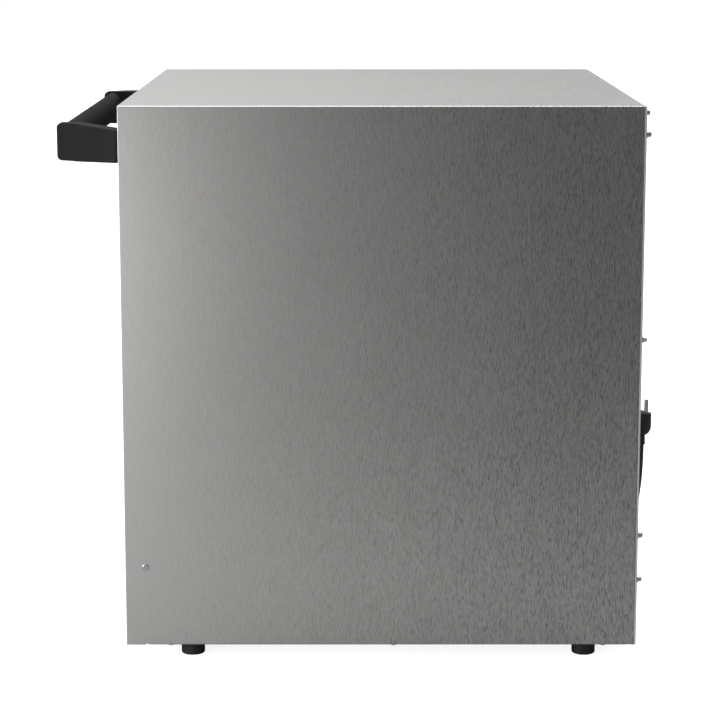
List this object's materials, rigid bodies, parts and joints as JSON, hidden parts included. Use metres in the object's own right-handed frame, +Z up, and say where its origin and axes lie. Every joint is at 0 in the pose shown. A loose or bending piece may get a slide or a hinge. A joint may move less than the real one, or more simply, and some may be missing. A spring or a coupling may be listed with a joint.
{
  "type": "food dehydrator",
  "caption": "Countertop cabinet food dehydrator: brushed steel shell, drop-down glass door with bar handle, sliding perforated trays, rear fan and heater, rubber feet, mains lead.",
  "frame": {"origin": "on the surface it stands on, at the middle of the box of the object without its mains lead", "axes": "+X to the right of someone facing the door, -Y out of the door, +Z up"},
  "size_m": [0.699, 0.709, 0.654],
  "materials": {
    "brushed_stainless": "vertical brushed grain",
    "plain_sheet": "mill finish sheet",
    "tray_steel": "bright stainless",
    "zinc_screws": "bright zinc",
    "cast_aluminium": "satin",
    "motor_steel": "satin grey",
    "element_tube": "heat-darkened",
    "clear_glass": "clear",
    "handle_plastic": "fine-textured black",
    "black_rubber": "matte",
    "board_green": "solder mask",
    "dark_lens": "gloss",
    "black_plastic": "satin",
    "white_plastic": "satin",
    "magnet_black": "matte",
    "cord_pvc": "satin",
    "pin_nickel": "bright nickel"
  },
  "bodies": {
    "cabinet": {"outer_shell": "brushed_stainless", "base_plate": "plain_sheet", "rear_panel": "plain_sheet", "front_frame": "plain_sheet", "control_fascia": "brushed_stainless", "chamber_wall_left": "plain_sheet", "chamber_wall_right": "plain_sheet", "chamber_rear_wall": "plain_sheet", "chamber_ceiling": "plain_sheet", "chamber_floor": "plain_sheet", "air_baffle": "plain_sheet", "drip_tray": "tray_steel", "fan_motor": "motor_steel", "motor_bracket": "plain_sheet", "heating_element": "element_tube", "temperature_probe": "element_tube", "control_board": "board_green", "display_lens": "dark_lens", "switch_housing": "black_plastic", "terminal_block": "white_plastic", "motor_cover": "plain_sheet", "feet": "black_rubber", "foot_screws": "zinc_screws", "base_screws": "zinc_screws", "rear_screws": "zinc_screws", "door_pivot_screws": "zinc_screws", "cord_gland": "black_plastic", "cord_hook": "black_plastic", "cord_clip": "black_plastic", "power_cord": "cord_pvc", "cord_coil": "cord_pvc", "cord_tie": "black_plastic", "plug_body": "cord_pvc", "plug_pins": "pin_nickel"},
    "door": {"door_frame": "brushed_stainless", "door_inner_panel": "plain_sheet", "door_glass": "clear_glass", "door_seal": "black_rubber", "door_magnets": "magnet_black", "door_bushes": "black_plastic", "handle_bar": "handle_plastic", "handle_bracket_left": "handle_plastic", "handle_bracket_right": "handle_plastic", "handle_screws": "zinc_screws"},
    "fan": {"fan_shaft": "zinc_screws", "fan_blade": "cast_aluminium", "fan_nut": "zinc_screws"},
    "rocker": {"switch_rocker": "black_plastic"},
    "button_timer": {"button_timer": "black_plastic"},
    "button_temperature": {"button_temperature": "black_plastic"},
    "button_minus": {"button_minus": "black_plastic"},
    "button_plus": {"button_plus": "black_plastic"},
    "tray_01": {"tray_01": "tray_steel"},
    "tray_02": {"tray_02": "tray_steel"},
    "tray_03": {"tray_03": "tray_steel"},
    "tray_04": {"tray_04": "tray_steel"},
    "tray_05": {"tray_05": "tray_steel"},
    "tray_06": {"tray_06": "tray_steel"},
    "tray_07": {"tray_07": "tray_steel"},
    "tray_08": {"tray_08": "tray_steel"}
  },
  "joints": [
    {"name": "door_hinge", "type": "hinge", "parent": "cabinet", "child": "door", "pos_m": [0, -0.2517, 0.1129], "axis": [1, 0, 0], "range_deg": [0, 90]},
    {"name": "fan_spin", "type": "hinge", "parent": "cabinet", "child": "fan", "pos_m": [0, 0.19, 0.37], "axis": [0, 1, 0], "continuous": true},
    {"name": "power_rocker", "type": "hinge", "parent": "cabinet", "child": "rocker", "pos_m": [0.27, -0.262, 0.057], "axis": [1, 0, 0], "range_deg": [0, 14]},
    {"name": "button_timer_press", "type": "slide", "parent": "cabinet", "child": "button_timer", "axis": [0, 1, 0], "range_m": [0, 0.0015], "stiffness_N_per_m": 300},
    {"name": "button_temperature_press", "type": "slide", "parent": "cabinet", "child": "button_temperature", "axis": [0, 1, 0], "range_m": [0, 0.0015], "stiffness_N_per_m": 300},
    {"name": "button_minus_press", "type": "slide", "parent": "cabinet", "child": "button_minus", "axis": [0, 1, 0], "range_m": [0, 0.0015], "stiffness_N_per_m": 300},
    {"name": "button_plus_press", "type": "slide", "parent": "cabinet", "child": "button_plus", "axis": [0, 1, 0], "range_m": [0, 0.0015], "stiffness_N_per_m": 300},
    {"name": "tray_01_slide", "type": "slide", "parent": "cabinet", "child": "tray_01", "axis": [0, -1, 0], "range_m": [0, 0.0324]},
    {"name": "tray_02_slide", "type": "slide", "parent": "cabinet", "child": "tray_02", "axis": [0, -1, 0], "range_m": [0, 0.089]},
    {"name": "tray_03_slide", "type": "slide", "parent": "cabinet", "child": "tray_03", "axis": [0, -1, 0], "range_m": [0, 0.1455]},
    {"name": "tray_04_slide", "type": "slide", "parent": "cabinet", "child": "tray_04", "axis": [0, -1, 0], "range_m": [0, 0.2021]},
    {"name": "tray_05_slide", "type": "slide", "parent": "cabinet", "child": "tray_05", "axis": [0, -1, 0], "range_m": [0, 0.2586]},
    {"name": "tray_06_slide", "type": "slide", "parent": "cabinet", "child": "tray_06", "axis": [0, -1, 0], "range_m": [0, 0.3152]},
    {"name": "tray_07_slide", "type": "slide", "parent": "cabinet", "child": "tray_07", "axis": [0, -1, 0], "range_m": [0, 0.3309]},
    {"name": "tray_08_slide", "type": "slide", "parent": "cabinet", "child": "tray_08", "axis": [0, -1, 0], "range_m": [0, 0.3309]}
  ],
  "couplings": [
    {"joint": "tray_01_slide", "follows": "door_hinge", "m_per_rad": 0.02},
    {"joint": "tray_02_slide", "follows": "door_hinge", "m_per_rad": 0.056},
    {"joint": "tray_03_slide", "follows": "door_hinge", "m_per_rad": 0.092},
    {"joint": "tray_04_slide", "follows": "door_hinge", "m_per_rad": 0.128},
    {"joint": "tray_05_slide", "follows": "door_hinge", "m_per_rad": 0.164},
    {"joint": "tray_06_slide", "follows": "door_hinge", "m_per_rad": 0.2},
    {"joint": "tray_07_slide", "follows": "door_hinge", "m_per_rad": 0.21},
    {"joint": "tray_08_slide", "follows": "door_hinge", "m_per_rad": 0.21}
  ]
}
